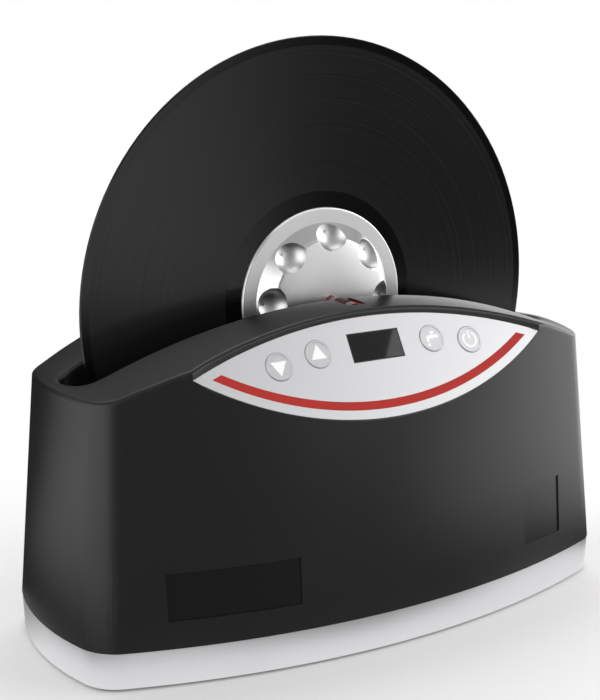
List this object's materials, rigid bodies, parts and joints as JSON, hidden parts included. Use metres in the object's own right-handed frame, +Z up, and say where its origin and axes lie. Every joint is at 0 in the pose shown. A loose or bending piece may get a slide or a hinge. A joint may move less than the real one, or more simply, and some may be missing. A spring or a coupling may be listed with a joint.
{
  "type": "record cleaning machine",
  "caption": "Table-top ultrasonic record cleaner: slotted arched housing over a steel bath, with a clamped record turned on its axle.",
  "frame": {"origin": "on the ground under the middle of the body, midway along its length and depth", "axes": "+Z up, +X along the body to the right as seen from the control panel, -Y towards the control panel; the record stands in the plane y = 0"},
  "size_m": [0.3612, 0.1802, 0.3365],
  "materials": {
    "housing_black": "fine matt moulded charcoal",
    "band_metal": "brushed lengthways, satin",
    "base_plastic": "matt",
    "foot_rubber": "matt",
    "screw_steel": "zinc plated",
    "panel_silver": "satin silver paint",
    "stripe_red": "brick red, satin",
    "window_dark": "smoked, polished",
    "part_dark": "matt",
    "board_green": "green solder mask",
    "button_silver": "satin silver",
    "saddle_red": "red moulded plastic",
    "bath_steel": "satin stainless",
    "seal_rubber": "matt silicone",
    "transducer_metal": "turned",
    "bracket_steel": "zinc plated",
    "motor_metal": "plated can",
    "pinion_brass": "cut",
    "gear_plastic": "moulded acetal",
    "shaft_steel": "ground",
    "sleeve_plastic": "grey acetal",
    "clamp_metal": "satin with polished dimples",
    "record_vinyl": "pressed black, finely grooved"
  },
  "bodies": {
    "machine": {"housing_shell": "housing_black", "base_band": "band_metal", "base_plate": "base_plastic", "rubber_feet": "foot_rubber", "base_screws": "screw_steel", "control_panel": "panel_silver", "accent_stripe": "stripe_red", "display_window": "window_dark", "display_module": "part_dark", "keypad_board": "board_green", "keypad_switches": "part_dark", "saddle_front": "saddle_red", "saddle_rear": "saddle_red", "bath_tank": "bath_steel", "tank_seal": "seal_rubber", "tank_screws": "screw_steel", "transducers": "transducer_metal", "generator_board": "board_green", "generator_parts": "part_dark", "power_jack": "part_dark", "drain_tube": "seal_rubber", "drain_pump": "part_dark", "drain_spigot": "base_plastic", "drive_bracket": "bracket_steel", "drive_motor": "motor_metal", "drive_screws": "screw_steel"},
    "key_down": {"button_down": "button_silver"},
    "key_up": {"button_up": "button_silver"},
    "key_drain": {"button_drain": "button_silver"},
    "key_power": {"button_power": "button_silver"},
    "motor_output": {"motor_pinion": "pinion_brass"},
    "drive_roller": {"roller_gear": "gear_plastic", "roller_shaft": "shaft_steel", "roller_tyre": "foot_rubber"},
    "axle_carrier": {"sleeve_front": "sleeve_plastic", "sleeve_rear": "sleeve_plastic"},
    "clamped_record": {"clamp_axle": "shaft_steel", "clamp_front": "clamp_metal", "clamp_rear": "clamp_metal", "clamp_pads": "foot_rubber", "record": "record_vinyl"}
  },
  "joints": [
    {"name": "record_lift", "type": "slide", "parent": "machine", "child": "axle_carrier", "axis": [0, 0, 1], "range_m": [0, 0.16]},
    {"name": "record_spin", "type": "hinge", "parent": "axle_carrier", "child": "clamped_record", "pos_m": [0, 0, 0.1857], "axis": [0, 1, 0], "continuous": true},
    {"name": "roller_spin", "type": "hinge", "parent": "machine", "child": "drive_roller", "pos_m": [0, 0.0455, 0.1734], "axis": [0, 1, 0], "continuous": true},
    {"name": "pinion_spin", "type": "hinge", "parent": "machine", "child": "motor_output", "pos_m": [0, 0.0455, 0.1574], "axis": [0, 1, 0], "continuous": true},
    {"name": "button_down_press", "type": "slide", "parent": "machine", "child": "key_down", "axis": [0, 0.8548, -0.5189], "range_m": [0, 0.0008], "stiffness_N_per_m": 400, "springref_m": -0.0008},
    {"name": "button_up_press", "type": "slide", "parent": "machine", "child": "key_up", "axis": [0, 0.8548, -0.5189], "range_m": [0, 0.0008], "stiffness_N_per_m": 400, "springref_m": -0.0008},
    {"name": "button_drain_press", "type": "slide", "parent": "machine", "child": "key_drain", "axis": [0, 0.8548, -0.5189], "range_m": [0, 0.0008], "stiffness_N_per_m": 400, "springref_m": -0.0008},
    {"name": "button_power_press", "type": "slide", "parent": "machine", "child": "key_power", "axis": [0, 0.8548, -0.5189], "range_m": [0, 0.0008], "stiffness_N_per_m": 400, "springref_m": -0.0008}
  ],
  "couplings": [
    {"joint": "roller_spin", "follows": "record_spin", "ratio": -0.33333},
    {"joint": "pinion_spin", "follows": "record_spin", "ratio": 0.42857}
  ]
}
